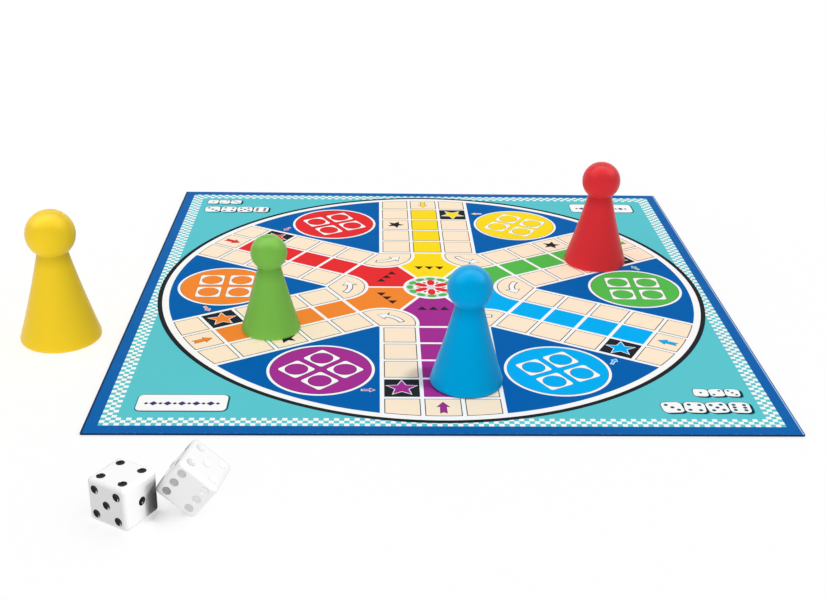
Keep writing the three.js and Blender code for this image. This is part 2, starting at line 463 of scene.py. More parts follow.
def pawn_plastic(name, colour):
    """Moulded plastic in a pawn's colour, with painted shade just below the head, where the head's shadow
    falls.
    """
    low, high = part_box("pawn_" + name)
    skirt_top = low.z + (high.z - low.z) * SKIRT_SHARE
    made, tree, shader = material("plastic_" + name, 0.2)
    moulded = place_group(tree, "plastic", Color=colour, Flow=0.03, Skin=0.06,
                          Gloss_Low=0.3, Gloss_High=0.34)
    join(moulded, shader)
    height = add(tree, "SeparateXYZ", {0: place_on(tree)}).outputs["Z"]
    skirt = mask(tree, height, skirt_top, skirt_top - SKIRT_FADE * MM)
    # Painted shade: the cone is darker just below the head
    neck = mask(tree, height, skirt_top - NECK_REACH * MM, skirt_top, NECK_SHADE,
                interpolation_type="SMOOTHSTEP")
    shade = reckon(tree, "SUBTRACT", 1.0, reckon(tree, "MULTIPLY", skirt, neck))
    painted_neck_shade_colour = shaded(tree, moulded.outputs["Color"], shade)
    plug(shader, {"Base Color": painted_neck_shade_colour, "Specular Tint": colour})
    return made


def die_plastic():
    made, tree, shader = material("plastic_white", 0.4)
    join(place_group(tree, "plastic", Color=srgb(225, 225, 225), Flow=0.03, Skin=0.1,
                     Gloss_Low=0.14, Gloss_High=0.24), shader)
    return made


def pip_paint():
    made, tree, shader = material("pip_paint", 0.15)
    join(place_group(tree, "plastic", Color=srgb(24, 24, 26), Flow=0.3, Skin=0.3,
                     Gloss_Low=0.1, Gloss_High=0.2), shader)
    return made


def worn_pip_paint(pale_from, pale_to):
    """Grey pip paint with painted light: it pales towards white more and more towards one side, in
    patches.
    """
    made, tree, shader = material("worn_pip_paint", 0.3)
    paint = place_group(tree, "plastic", Color=srgb(72, 72, 74), Flow=0.2, Skin=0.3,
                        Gloss_Low=0.15, Gloss_High=0.3)
    join(paint, shader)
    across = add(tree, "SeparateXYZ", {0: place_on(tree)}).outputs["X"]
    # Painted light: paler towards one side, with random patches
    along = mask(tree, across, pale_from, pale_to, MOST_PAINTED_LIGHT)
    patchy = reckon(tree, "MULTIPLY", noise(tree, grain=0.7, detail=3.0), 0.1)
    painted_paling = reckon(tree, "ADD", along, patchy, clamp=True)
    plug(shader, {"Base Color": mixed(tree, painted_paling, paint.outputs["Color"], srgb(232, 232, 232))})
    return made


# From a bmesh to a piece

def into_object(shape, name, finish, smooth=None):
    """Makes the bmesh an object in metres, at the origin."""
    bmesh.ops.scale(shape, vec=(MM, MM, MM), verts=shape.verts)
    mesh = bpy.data.meshes.new(name)
    shape.to_mesh(mesh)
    shape.free()
    if smooth is not None:
        mesh.shade_smooth()
        mesh.set_sharp_from_angle(angle=math.radians(smooth))
    mesh.materials.append(finish)
    made = bpy.data.objects.new(name, mesh)
    bpy.context.scene.collection.objects.link(made)
    return made


def keep_flat(piece):
    """Large flat faces keep their own normals beside rounded edges."""
    normals = piece.modifiers.new("flat faces", "WEIGHTED_NORMAL")
    normals.weight, normals.keep_sharp = 100, True


def everything(shape):
    return shape.verts[:] + shape.edges[:] + shape.faces[:]


def face_out(shape):
    """Turns every face's front outwards."""
    bmesh.ops.recalc_face_normals(shape, faces=shape.faces[:])


def shift(shape, x, y, z):
    bmesh.ops.translate(shape, vec=(x, y, z), verts=shape.verts)


def carry(shape, place):
    bmesh.ops.transform(shape, matrix=place, verts=shape.verts)


def slice_off(shape, point, away, part=None):
    """Cuts along a plane and drops what lies on the side that it faces."""
    bmesh.ops.bisect_plane(shape, geom=part or everything(shape), dist=1e-4,
                           plane_co=point, plane_no=away, clear_outer=True)


def score(shape, point, across, part=None):
    """Cuts edges along a plane and drops nothing."""
    bmesh.ops.bisect_plane(shape, geom=part or everything(shape), dist=1e-4,
                           plane_co=point, plane_no=across)


def middle_of(node):
    """The middle of a CAD node's box, in metres."""
    low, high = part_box(node)
    return (low + high) / 2


def with_rims(faces):
    """These faces with their edges and corners, as a cut takes them."""
    part = set(faces)
    for face in faces:
        part.update(face.edges)
        part.update(face.verts)
    return list(part)


def raise_up(shape, faces, height):
    """Extrudes faces straight up, or down, and leaves the old ones as the other side."""
    raised = bmesh.ops.extrude_face_region(shape, geom=faces)
    risen = [item for item in raised["geom"] if isinstance(item, bmesh.types.BMVert)]
    bmesh.ops.translate(shape, vec=(0, 0, height), verts=risen)


def direction_at(degrees):
    """A level direction, counted from +X towards +Y."""
    return Vector((math.cos(math.radians(degrees)), math.sin(math.radians(degrees)), 0))


# Stamps: flat shapes in ink

def disc(radius, steps=180):
    shape = bmesh.new()
    bmesh.ops.create_circle(shape, cap_ends=True, radius=radius, segments=steps)
    return shape


def oval(length, width):
    shape = disc(1.0, 36)
    bmesh.ops.scale(shape, vec=(length / 2, width / 2, 1), verts=shape.verts)
    return shape


def tile(width, height, corner=0.0):
    shape = bmesh.new()
    bmesh.ops.create_grid(shape, x_segments=1, y_segments=1, size=0.5)
    bmesh.ops.scale(shape, vec=(width, height, 1), verts=shape.verts)
    if corner:
        bmesh.ops.bevel(shape, geom=shape.verts[:], affect="VERTICES", offset=corner, segments=6,
                        profile=0.5, material=-1)
    return shape


def block(low_x, high_x, low_y, high_y):
    shape = tile(high_x - low_x, high_y - low_y)
    shift(shape, (low_x + high_x) / 2, (low_y + high_y) / 2, 0)
    return shape


def star(radius):
    """A five-pointed star with one tip along +X."""
    shape = disc(radius, 10)
    for corner in shape.verts:
        if corner.index % 2:
            corner.co *= STAR_WAIST
    first = next(corner for corner in shape.verts if corner.index == 0).co
    carry(shape, Matrix.Rotation(-math.atan2(first.y, first.x), 4, "Z"))
    return shape


def outline(points):
    shape = bmesh.new()
    shape.faces.new([shape.verts.new((x, y, 0)) for x, y in points])
    return shape


def arrow(length, head, head_length, shaft, notch=0.0, rim=0.0):
    """A straight arrow along +X, centred on its length."""
    tip, tail = length / 2 + 1.6 * rim, -length / 2 - rim
    neck = length / 2 - head_length - rim
    wide, thin = head / 2 + 1.5 * rim, shaft / 2 + rim
    return outline([(tip, 0), (neck, wide), (neck, thin), (tail, thin * 1.1), (tail + notch, 0),
                    (tail, -thin * 1.1), (neck, -thin), (neck, -wide)])


def turning_arrow(rim=0.0):
    """An arrow bent round the apex of a field, which is its origin."""
    inner, outer = TURNING_INNER - rim, TURNING_OUTER + rim
    head_half, tip_reach = TURNING_HEAD + 1.6 * rim, TURNING_TIP + 1.7 * rim
    middle = (inner + outer) / 2
    back = math.degrees(rim / middle)
    shape = bmesh.new()
    ends = [shape.verts.new(direction_at(TURNING_FROM - back) * radius) for radius in (inner, outer)]
    edge = shape.edges.new(ends)
    bmesh.ops.spin(shape, geom=ends + [edge], cent=(0, 0, 0), axis=(0, 0, 1),
                   angle=math.radians(TURNING_TO - TURNING_FROM), steps=16)
    away, ahead = direction_at(TURNING_TO - back), direction_at(TURNING_TO - back + 90)
    base = away * middle
    tip = base + ahead * tip_reach - away * TURNING_DRIFT
    head = [base - away * head_half, base + away * head_half, tip]
    shape.faces.new([shape.verts.new(corner) for corner in head])
    return shape


def checks():
    """Three rows of small squares all round, every other one printed."""
    side = (BOARD - 2 * BORDER) / 2
    pitch = 2 * side / CHECKS
    shape = bmesh.new()
    bmesh.ops.create_grid(shape, x_segments=CHECKS, y_segments=CHECKS, size=side)
    unwanted = []
    for square in shape.faces:
        middle = square.calc_center_median()
        column, row = (int((middle.x + side) / pitch), int((middle.y + side) / pitch))
        rim = min(column, row, CHECKS - 1 - column, CHECKS - 1 - row)
        if rim >= CHECK_ROWS or (column + row) % 2 == 0:
            unwanted.append(square)
    bmesh.ops.delete(shape, geom=unwanted, context="FACES")
    bmesh.ops.split_edges(shape, edges=shape.edges[:])
    return shape


# Printing: each ink has one plate, and each stamp is pressed on it in its place

plates = {}


def press(ink, stamp, place=None, layer=1):
    """Prints a stamp in an ink, at its place, on its layer; the stamp can be used again."""
    flat = bpy.data.meshes.new("stamp")
    stamp.to_mesh(flat)
    flat.transform(Matrix.Translation((0, 0, layer * LAYER)) @ (place or Matrix()))
    plates.setdefault(ink, bmesh.new()).from_mesh(flat)
    bpy.data.meshes.remove(flat)


def turn(degrees):
    return Matrix.Rotation(math.radians(degrees), 4, "Z")


def at(x, y=0.0, degrees=0.0):
    return Matrix.Translation((x, y, 0)) @ turn(degrees)


def print_ground():
    """The teal ground, the checked band, and the ring round the track."""
    inner = BOARD - 2 * BORDER
    press("teal", tile(inner, inner), layer=1)
    press("white", checks(), layer=1.5)
    press("black", disc(BLACK_RING, 360), layer=2)
    press("white", disc(GROUND, 360), layer=3)


def print_field(bisector):
    """The blue field between two arms."""
    field = disc(FIELD, 360)
    for side in (-1, 1):
        across = direction_at(ARM_STEP * side)
        slice_off(field, across * FIELD_EDGE, -across)
    press("field_blue", field, turn(bisector), 4)


def print_cell(ink, place, cell, outlined=True, layer=5):
    """One square of the track: its line, and the ink inside the line."""
    if outlined:
        press("line", cell, place, layer - 1)
        inner = cell.copy()
        bmesh.ops.inset_region(inner, faces=inner.faces[:], thickness=LINE, use_even_offset=True,
                               use_boundary=True)
        rim = [face for face in inner.faces if len(face.verts) == 4 and face.calc_area() < RIM_AREA]
        bmesh.ops.delete(inner, geom=rim, context="FACES")
        press(ink, inner, place, layer)
        inner.free()
    else:
        press(ink, cell, place, layer)


def outer_cell(low, high):
    """A square of the outermost row, whose far side follows the circle."""
    cell = disc(CELL_ARC, 720)
    slice_off(cell, (OUTER_ROW, 0, 0), (-1, 0, 0))
    slice_off(cell, (0, high, 0), (0, 1, 0))
    slice_off(cell, (0, low, 0), (0, -1, 0))
    return cell


def print_arm(ink, angle, safe_star):
    """The three rows of squares from the rim inwards, with their stars and arrows."""
    place = turn(angle)
    lined = ink == LINED
    columns = {-1: (-SIDE_FAR, -SIDE_NEAR), 0: (-LANE, LANE), 1: (SIDE_NEAR, SIDE_FAR)}
    for column, (low, high) in columns.items():
        print_cell("beige", place, outer_cell(low, high))
        for row in range(ROWS):
            start = ROW_START + ROW_PITCH * row
            cell = block(start, start + ROW_DEPTH, low, high)
            if column == 0:
                print_cell(ink, place, cell, lined)
            elif column == -1 and row == ROWS - 1:
                press("black", cell, place, 4)
            else:
                print_cell("beige", place, cell)
    far = ROW_START + ROW_PITCH * (ROWS - 1) + ROW_DEPTH / 2
    side = (SIDE_NEAR + SIDE_FAR) / 2
    press("white", star(STAR_RIM), place @ at(far, -side, 180), 5)
    press(ink, star(STAR), place @ at(far, -side, 180), 6)
    if safe_star:
        press("black", star(SAFE_STAR), place @ at(far - ROW_PITCH, side, 180 + SAFE_STAR_TURN), 6)
    entry, beside = place @ at(ENTRY_AT, 0, 180), place @ at(*SIDE_AT, 90)
    press("line", arrow(*ENTRY_ARROW), entry, 6)
    press(ink, arrow(*ENTRY_ARROW, ENTRY_SHRINK), entry, 7)
    press("white", arrow(*SIDE_ARROW), beside, 5)
    press(ink, arrow(*SIDE_ARROW, SIDE_SHRINK), beside, 6)


def print_home(ink, angle):
    """The wedge at the inner end of a lane, and the three marks that point to the middle."""
    place = turn(angle)
    wedge = disc(60, 60)
    slice_off(wedge, (HOME_REACH, 0, 0), (1, 0, 0))
    for side in (-1, 1):
        away = direction_at(2 * ARM_STEP * side)
        slice_off(wedge, -away * DIVIDER, away)
    if ink == LINED:
        press("line", wedge, place, 4)
    press(ink, wedge, place, 5)
    for step in (-1, 0, 1):
        press("line", outline(HOME_MARK), place @ at(HOME_MARK_AT, HOME_MARK_PITCH * step), 6)


def print_junction(bisector):
    """The rounded corner square between two arms, with its turning arrow."""
    place = turn(bisector)
    for ink, radius, edge, layer in (
        ("white", JUNCTION_GROUND, GROUND_EDGE, 6),
        ("line", JUNCTION, JUNCTION_EDGE, 7),
        ("beige", JUNCTION - LINE, JUNCTION_EDGE - LINE, 8),
    ):
        shape = disc(radius, 96)
        shift(shape, JUNCTION_AT, 0, 0)
        for side in (-1, 1):
            along = direction_at(ARM_STEP / 2 * side)
            slice_off(shape, along * edge, along)
        press(ink, shape, place, layer)
    press("line", turning_arrow(TURNING_RIM), place @ at(APEX), 9)
    press("white", turning_arrow(), place @ at(APEX), 10)


def print_base(ink, angle, frame_turn):
    """A player's base: a disc with four framed spots."""
    place = turn(angle) @ at(BASE_AT)
    press("white", disc(BASE_RIM), place, 5)
    press("line", disc(BASE), place, 6)
    press(ink, disc(BASE - KEYLINE), place, 7)
    upright = place @ turn(frame_turn - angle)
    for x in (-FRAME_AT, FRAME_AT):
        for y in (-FRAME_AT, FRAME_AT):
            spot = upright @ at(x, y)
            press("line", tile(FRAME + KEYLINE, FRAME + KEYLINE, FRAME_CORNER), spot, 8)
            press("white", tile(FRAME, FRAME, FRAME_CORNER), spot, 9)
            press("line", disc(SPOT, 60), spot, 10)
            press(ink, disc(SPOT - KEYLINE, 60), spot, 11)


def print_hub():
    """The middle: a plain rosette on a pale ground."""
    press("white", disc(HUB), layer=6)
    press("lilac", disc(HUB_PICTURE), layer=7)
    for ink, length, width, reach, count, first, layer in ROSETTE:
        for step in range(count):
            press(ink, oval(length, width), turn(360 / count * step + first) @ at(reach), layer)
    press("lilac", disc(EYE, 60), layer=10)


def print_plate(x, y):
    """A white plate with a row of lozenges, and its drop shadow."""
    width, height = PLATE
    shadow = tile(width + 2 * HALO, height + 2 * HALO, PLATE_CORNER + HALO)
    press("deep_teal", shadow, at(x + HALO_SHIFT, y - HALO_SHIFT), 2)
    press("white", tile(width, height, PLATE_CORNER), at(x, y), 3)
    for step in range(-5, 6):
        side = LOZENGE_SIDES[step % 2]
        press("indigo", tile(side, side), at(x + LOZENGE_PITCH * step, y - LOZENGE_DROP, 45), 4)


def print_icon(size, x, y, count, lean):
    """A small picture of a die's face, with a drop shadow."""
    place = at(x, y, lean)
    corner = size * ICON_ROUND
    rim = size + 2 * ICON_RIM
    for shift in (0, ICON_SHADOW / 2, ICON_SHADOW):
        press("deep_teal", tile(rim, rim, corner + ICON_RIM), at(x + shift, y - shift, lean), 2)
    press("white", tile(size, size, corner), place, 3)
    pitch = size * ICON_PIP_PITCH
    for column, row in PIP_PLACES[count]:
        press("deep_teal", disc(size * ICON_PIP, 20), place @ at(column * pitch, row * pitch), 4)


def print_icons(starts):
    """A short row of small pictures over a longer row of larger ones."""
    for (size, gap, counts, leans), (left, y) in zip(ICON_ROWS, starts):
        for step, count in enumerate(counts):
            print_icon(size, left + size / 2 + step * (size + gap), y, count, leans[step])


def print_face():
    """The whole printed face: every ink, cut at the fold, as thin raised layers on the sheet."""
    print_ground()
    for ink, (arm, base, frame_turn, safe_star) in PLAYERS.items():
        print_field(arm - ARM_STEP / 2)
        print_arm(ink, arm, safe_star)
        print_home(ink, arm)
        print_base(ink, base, frame_turn)
    for player in PLAYERS.values():
        print_junction(player[0] - ARM_STEP / 2)
    print_hub()
    for x, y in PLATES:
        print_plate(x, y)
    for starts in ICON_STARTS:
        print_icons(starts)
    for ink, flat in plates.items():
        finish = printed_ink(ink, INKS[ink])
        bmesh.ops.triangulate(flat, faces=flat.faces[:])
        for half, side in HALVES.items():
            layers = flat.copy()
            slice_off(layers, (0, side * FOLD_HAIR, 0), (0, -side, 0))
            if not layers.faces:
                layers.free()
                continue
            down_to_sheet = bmesh.ops.extrude_face_region(layers, geom=layers.faces[:])
            for item in down_to_sheet["geom"]:
                if isinstance(item, bmesh.types.BMVert):
                    item.co.z = 0
            shift(layers, 0, 0, BOARD_TOP)
            face_out(layers)
            piece = into_object(layers, f"print_{ink}_{half}", finish)
            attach(piece, half + "_half")
        flat.free()


# The cover and the hinge

def round_over(shape, face, radius, steps, direction):
    """Rounds the rim of a flat face over, ring by ring."""
    before = (0.0, 0.0)
    for step in range(1, steps + 1):
        angle = math.pi / 2 * step / steps
        now = (radius * (1 - math.cos(angle)), radius * math.sin(angle))
        bmesh.ops.inset_region(shape, faces=[face], thickness=now[0] - before[0], depth=0,
                               use_even_offset=True, use_boundary=True)
        bmesh.ops.translate(shape, vec=(0, 0, direction * (now[1] - before[1])), verts=face.verts)
        before = now


def cover_skin():
    """The outside of the whole board's cover: the lining, the edges and the turned-over border."""
    shape = tile(BOARD, BOARD, CORNER_ROUND)
    shift(shape, 0, 0, LOWER_ROUND)
    raise_up(shape, shape.faces[:], BOARD_TOP - UPPER_ROUND - LOWER_ROUND)
    lower, upper = sorted((face for face in shape.faces if len(face.verts) > 4),
                          key=lambda face: face.calc_center_median().z)
    face_out(shape)
    round_over(shape, upper, UPPER_ROUND, 6, 1)
    round_over(shape, lower, LOWER_ROUND, 4, -1)
    bmesh.ops.delete(shape, geom=[upper], context="FACES_ONLY")
    rim = [edge for edge in shape.edges if edge.is_boundary]
    turned = bmesh.ops.extrude_edge_only(shape, edges=rim)
    inner = BOARD / 2 - BORDER
    for item in turned["geom"]:
        if isinstance(item, bmesh.types.BMVert):
            item.co.x = max(-inner, min(inner, item.co.x))
            item.co.y = max(-inner, min(inner, item.co.y))
    bmesh.ops.remove_doubles(shape, verts=shape.verts, dist=TOUCH)
    for slope in (-1, 1):
        across = Vector((1, slope, 0)).normalized()
        for side in (-1, 1):
            border = [face for face in shape.faces
                      if all(abs(corner.co.z - BOARD_TOP) < TOUCH for corner in face.verts)]
            score(shape, across * (side * MITRE_SEAM / 2), across, with_rims(border))
    seam = []
    for face in shape.faces:
        middle = face.calc_center_median()
        if middle.z > BOARD_TOP - TOUCH and abs(abs(middle.x) - abs(middle.y)) < MITRE_SEAM * 0.7:
            seam.append(face)
    bmesh.ops.delete(shape, geom=seam, context="FACES")
    face_out(shape)
    return shape


def cover_half(skin, half, side, finish):
    """One half's cover: its side of the skin, given the paper's thickness."""
    shape = skin.copy()
    slice_off(shape, (0, side * FOLD_HAIR, 0), (0, -side, 0))
    score(shape, (0, side * TAPE / 2, 0), (0, 1, 0))
    score(shape, (0, 0, COVER), (0, 0, 1))
    under_tape = []
    for face in shape.faces:
        middle = face.calc_center_median()
        if middle.z < COVER and abs(middle.y) < TAPE / 2:
            under_tape.append(face)
    bmesh.ops.delete(shape, geom=under_tape, context="FACES")
    piece = into_object(shape, "cover_" + half, finish, 30)
    paper = piece.modifiers.new("paper thickness", "SOLIDIFY")
    paper.thickness, paper.offset = COVER * MM, -1
    keep_flat(piece)
    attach(piece, half + "_half")
    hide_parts("cover_wrap_" + half)


def hinge_tape(finish):
    """The cloth strip under the fold, with close cross cuts where it bends."""
    shape = tile(BOARD - 2 * TAPE_END_GAP, TAPE)
    for step in range(-BEND_CUTS, BEND_CUTS + 1):
        score(shape, (0, BEND * BEND_SPREAD * step / BEND_CUTS, 0), (0, 1, 0))
    raise_up(shape, shape.faces[:], COVER)
    face_out(shape)
    piece = into_object(shape, "hinge_cloth", finish)
    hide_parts("hinge_tape")
    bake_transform(piece)


# Pawns and dice

def arc(centre, radius, start, end, steps):
    """Points on an arc in a section, as radius from the axis and height."""
    angles = [start + (end - start) * step / steps for step in range(steps + 1)]
    return [(centre[0] + radius * math.cos(angle), centre[1] + radius * math.sin(angle))
            for angle in angles]


def pawn_section():
    """Half of the pawn's section: head, neck, flank and foot, and the hollow up to its dome."""
    head_centre = (0, PAWN_HEIGHT - PAWN_HEAD)
    neck, foot_top = Vector((PAWN_NECK, NECK_HEIGHT)), Vector((PAWN_BASE, PAWN_FOOT))
    head = arc(head_centre, PAWN_HEAD, math.pi / 2, -math.atan2(NECK_DROP, PAWN_NECK), HEAD_STEPS)
    along = neck - foot_top
    inward = Vector((-along.y, along.x)).normalized()
    belly = (neck + foot_top) / 2 + inward * PAWN_SAG * 2
    flank = []
    for step in range(1, FLANK_STEPS + 1):
        share = step / FLANK_STEPS
        flank.append(tuple(neck * (1 - share) ** 2 + belly * 2 * share * (1 - share)
                           + foot_top * share ** 2))
    foot_centre = (PAWN_BASE - PAWN_FOOT_ROUND, PAWN_FOOT_ROUND)
    foot = arc(foot_centre, PAWN_FOOT_ROUND, 0, -math.pi / 2, FOOT_STEPS)
    dome = PAWN_NECK - PAWN_WALL
    hollow = [(PAWN_BASE - PAWN_WALL, 0), (dome, NECK_HEIGHT)]
    hollow += arc(head_centre, dome, 0, math.pi / 2, DOME_STEPS)
    return head + flank + foot + hollow


def pawn(name, finish):
    """A pawn: its section turned once round, a soft neck, and its own size and place."""
    node = "pawn_" + name
    low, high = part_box(node)
    size = (high.z - low.z) / (PAWN_HEIGHT * MM)
    shape = bmesh.new()
    corners = [shape.verts.new((radius, 0, height)) for radius, height in pawn_section()]
    edges = [shape.edges.new(pair) for pair in zip(corners, corners[1:])]
    bmesh.ops.spin(shape, geom=corners + edges, cent=(0, 0, 0), axis=(0, 0, 1),
                   angle=2 * math.pi, steps=PAWN_TURNS, use_merge=True)
    bmesh.ops.remove_doubles(shape, verts=shape.verts, dist=TOUCH)
    face_out(shape)
    neck = [edge for edge in shape.edges if all(
        abs(end.co.z - NECK_HEIGHT) < TOUCH and abs(end.co.xy.length - PAWN_NECK) < 10 * TOUCH
        for end in edge.verts)]
    bmesh.ops.bevel(shape, geom=neck, affect="EDGES", offset=NECK_FILLET, segments=3, profile=0.5,
                    material=-1)
    bmesh.ops.scale(shape, vec=(size, size, size), verts=shape.verts)
    middle = middle_of(node)
    shift(shape, middle.x / MM, middle.y / MM, low.z / MM)
    piece = into_object(shape, "moulded_" + node, finish, 45)
    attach(piece, name + "_pawn")
    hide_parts(node)
    return piece


DIE_FACES = [
    # count, outward direction, the two directions that its pips are counted along
    (4, (0, 0, 1), (1, 0, 0), (0, 1, 0)),
    (3, (0, 0, -1), (1, 0, 0), (0, 1, 0)),
    (5, (0, -1, 0), (1, 0, 0), (0, 0, 1)),
    (2, (0, 1, 0), (1, 0, 0), (0, 0, 1)),
    (1, (1, 0, 0), (0, 1, 0), (0, 0, 1)),
    (6, (-1, 0, 0), (0, 0, 1), (0, 1, 0)),
]


def pip_balls(counts):
    """For each pip of these faces, the ball that dishes it: radius, centre, and the way it looks."""
    radius = (PIP ** 2 + PIP_DEPTH ** 2) / (2 * PIP_DEPTH)
    for count, out, along, up in DIE_FACES:
        out, along, up = Vector(out), Vector(along), Vector(up)
        for column, row in PIP_PLACES[count] if count in counts else []:
            flat = out * DIE / 2 + (along * column + up * row) * PIP_PITCH
            yield radius, flat + out * (radius - PIP_DEPTH), out


def ball(shape, radius, centre):
    """Adds a ball, and gives its corners."""
    made = bmesh.ops.create_icosphere(shape, subdivisions=4, radius=radius)
    bmesh.ops.translate(shape, vec=centre, verts=made["verts"])
    return made["verts"]


def dished_cube():
    """A cube with rounded edges, and a dish cut for every pip."""
    shape = bmesh.new()
    bmesh.ops.create_cube(shape, size=DIE)
    bmesh.ops.bevel(shape, geom=shape.edges[:], affect="EDGES", offset=DIE_ROUND, segments=6,
                    profile=0.5, material=-1)
    cutter = bmesh.new()
    for radius, centre, _ in pip_balls(PIP_PLACES):
        ball(cutter, radius, centre)
    solids = []
    for name, solid in (("cube", shape), ("balls", cutter)):
        mesh = bpy.data.meshes.new(name)
        solid.to_mesh(mesh)
        solid.free()
        made = bpy.data.objects.new(name, mesh)
        bpy.context.scene.collection.objects.link(made)
        solids.append(made)
    cube, balls = solids
    cut = cube.modifiers.new("dishes", "BOOLEAN")
    cut.operation, cut.object, cut.solver = "DIFFERENCE", balls, "EXACT"
    bpy.context.view_layer.update()
    dished = bmesh.new()
    dished.from_object(cube, bpy.context.evaluated_depsgraph_get())
    for made in solids:
        mesh = made.data
        bpy.data.objects.remove(made)
        bpy.data.meshes.remove(mesh)
    bmesh.ops.triangulate(dished, faces=[face for face in dished.faces if len(face.verts) > 4])
    return dished


def pip_dots(counts):
    """The paint in the dishes of these faces: thin caps that lie in them."""
    shape = bmesh.new()
    for radius, centre, out in pip_balls(counts):
        corners = ball(shape, radius - PIP_PAINT, centre)
        faces = {face for corner in corners for face in corner.link_faces}
        slice_off(shape, out * (DIE / 2 - PIP_LIP), out, with_rims(faces))
    face_out(shape)
    bmesh.ops.reverse_faces(shape, faces=shape.faces[:])
    return shape


def die(node, body, cube, place, finish, paints):
    """One die, in its place: the white cube and the paint in its pips."""
    stand = Matrix.Translation(middle_of(node) / MM) @ place
    shape = cube.copy()
    carry(shape, stand)
    piece = into_object(shape, "moulded_" + node, finish, 25)
    keep_flat(piece)
    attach(piece, body)
    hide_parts(node)
    for name, counts, paint in paints:
        dots = pip_dots(counts)
        carry(dots, stand)
        spots = into_object(dots, f"{node}_{name}", paint, 45)
        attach(spots, body)
    return piece


def leaning_place():
    """How the second die stands: turned, then tipped over towards the first."""
    right = Vector((math.cos(DIE_TWO_TURN), math.sin(DIE_TWO_TURN), 0))
    deep = Vector((-math.sin(DIE_TWO_TURN), math.cos(DIE_TWO_TURN), 0))
    up = Vector((0, 0, 1))
    across = -(right * math.cos(DIE_TWO_TILT) + up * math.sin(DIE_TWO_TILT))
    top = -right * math.sin(DIE_TWO_TILT) + up * math.cos(DIE_TWO_TILT)
    return Matrix((deep, across, top)).transposed().to_4x4()


# Camera, floor and light

CAMERA_AT = (-0.02698, -0.51579, 0.22740)
CAMERA_YAW, CAMERA_PITCH, CAMERA_ROLL = 0.03585, 0.42441, 0.02075
CAMERA_LENS, CAMERA_SENSOR = 51.81, 36
FLOOR, FLOOR_DROP = 6000, 0.1
# The floor glows less near the first die: two distances from it, and the glow at each
SHADOW_NEAR, SHADOW_FAR, GLOW_NEAR, GLOW_FAR = 16, 30, 0.05, 0.5
AMBIENT = 0.66
LAMP_DISTANCE = 1.2

SUNS = {
    # name: direction, strength, width in degrees
    "board_key": ((0.34, -0.07, 0.94), 1.15, 6),
    "pawn_back": ((-0.05, 0.5, 0.86), 1.95, 30),
    "dice_key": ((0.43, -0.15, 0.89), 1.95, 9),
    "leaning_key": ((0.43, -0.15, 0.89), 1.6, 9),
    "dice_side": ((0.75, -0.62, 0.25), 0.75, 42),
    "dice_front": ((0.1, -0.9, 0.25), 0.85, 20),
    "glint_left": ((-0.95, 0.0, -0.07), 9.0, 21),
    "glint_right": ((0.95, -0.2, 0.1), 4.0, 30),
}
PAWN_KEY, PAWN_KEY_WIDTH = 1.32, 16
SOFTBOX, SOFTBOX_FROM, SOFTBOX_SIZE = 165, (0, -0.08, 1), (4.2, 1.4)

PAWNS = {
    # name: colour, degrees that its lamp is turned from the camera's side, the lamp's rise
    "green": (srgb(117, 179, 73), -4, -0.2),
    "blue": (srgb(0, 149, 204), -14, 0.05),
    "red": (srgb(211, 48, 54), -10, -0.35),
    "yellow": (srgb(224, 189, 40), -18, 0.1),
}


def set_camera():
    """The photo's view, as worked out from the board's corners."""
    forward = Vector((math.sin(CAMERA_YAW) * math.cos(CAMERA_PITCH),
                      math.cos(CAMERA_YAW) * math.cos(CAMERA_PITCH), -math.sin(CAMERA_PITCH)))
    level = Vector((math.cos(CAMERA_YAW), -math.sin(CAMERA_YAW), 0))
    upright = level.cross(forward)
    right = level * math.cos(CAMERA_ROLL) + upright * math.sin(CAMERA_ROLL)
    up = upright * math.cos(CAMERA_ROLL) - level * math.sin(CAMERA_ROLL)
    camera = bpy.data.objects.new("camera", bpy.data.cameras.new("camera"))
    camera.data.lens, camera.data.sensor_width = CAMERA_LENS, CAMERA_SENSOR
    camera.data.sensor_fit = "HORIZONTAL"
    camera.matrix_world = (Matrix.Translation(CAMERA_AT)
                           @ Matrix((right, up, -forward)).transposed().to_4x4())
    bpy.context.scene.collection.objects.link(camera)
    bpy.context.scene.camera = camera


def backdrop_ray(tree):
    """1 for rays that show the background: from the camera, and in gloss and glass."""
    path = tree.nodes.new("ShaderNodeLightPath").outputs
    seen = reckon(tree, "MAXIMUM", path["Is Camera Ray"], path["Is Glossy Ray"])
    return reckon(tree, "MAXIMUM", seen, path["Is Transmission Ray"])


def set_world():
    """A white background that lights the pieces less than it shows."""
    world = bpy.data.worlds.new("studio")
    bpy.context.scene.world = world
    world.use_nodes = True
    tree = world.node_tree
    strength = add(tree, "MapRange", {"Value": backdrop_ray(tree), "To Min": AMBIENT, "To Max": 1.0})
    plug(tree.nodes["Background"], {"Color": (1, 1, 1, 1), "Strength": strength.outputs["Result"]})


def set_floor():
    """A pale floor that glows to white, but less so round the dice, where it keeps their shadow."""
    shape = tile(FLOOR, FLOOR)
    shift(shape, 0, 0, -FLOOR_DROP)
    made, tree, shader = material("floor", 0.0)
    plug(shader, {"Base Color": (0.99, 0.99, 0.99, 1), "Roughness": 1.0})
    glow = add(tree, "Emission", {"Strength": 1.0})
    from_die = {0: place_on(tree), 1: middle_of("die_one")}
    apart = add(tree, "VectorMath", from_die, operation="DISTANCE").outputs["Value"]
    most = add(tree, "MapRange", {
        "Value": apart, "From Min": SHADOW_NEAR * MM, "From Max": SHADOW_FAR * MM,
        "To Min": GLOW_NEAR, "To Max": GLOW_FAR,
    }, interpolation_type="SMOOTHSTEP").outputs["Result"]
    share = reckon(tree, "MULTIPLY", backdrop_ray(tree), most)
    surface = add(tree, "MixShader", {0: share, 1: shader.outputs[0], 2: glow.outputs[0]})
    plug(tree.nodes["Material Output"], {"Surface": surface.outputs[0]})
    into_object(shape, "floor", made)


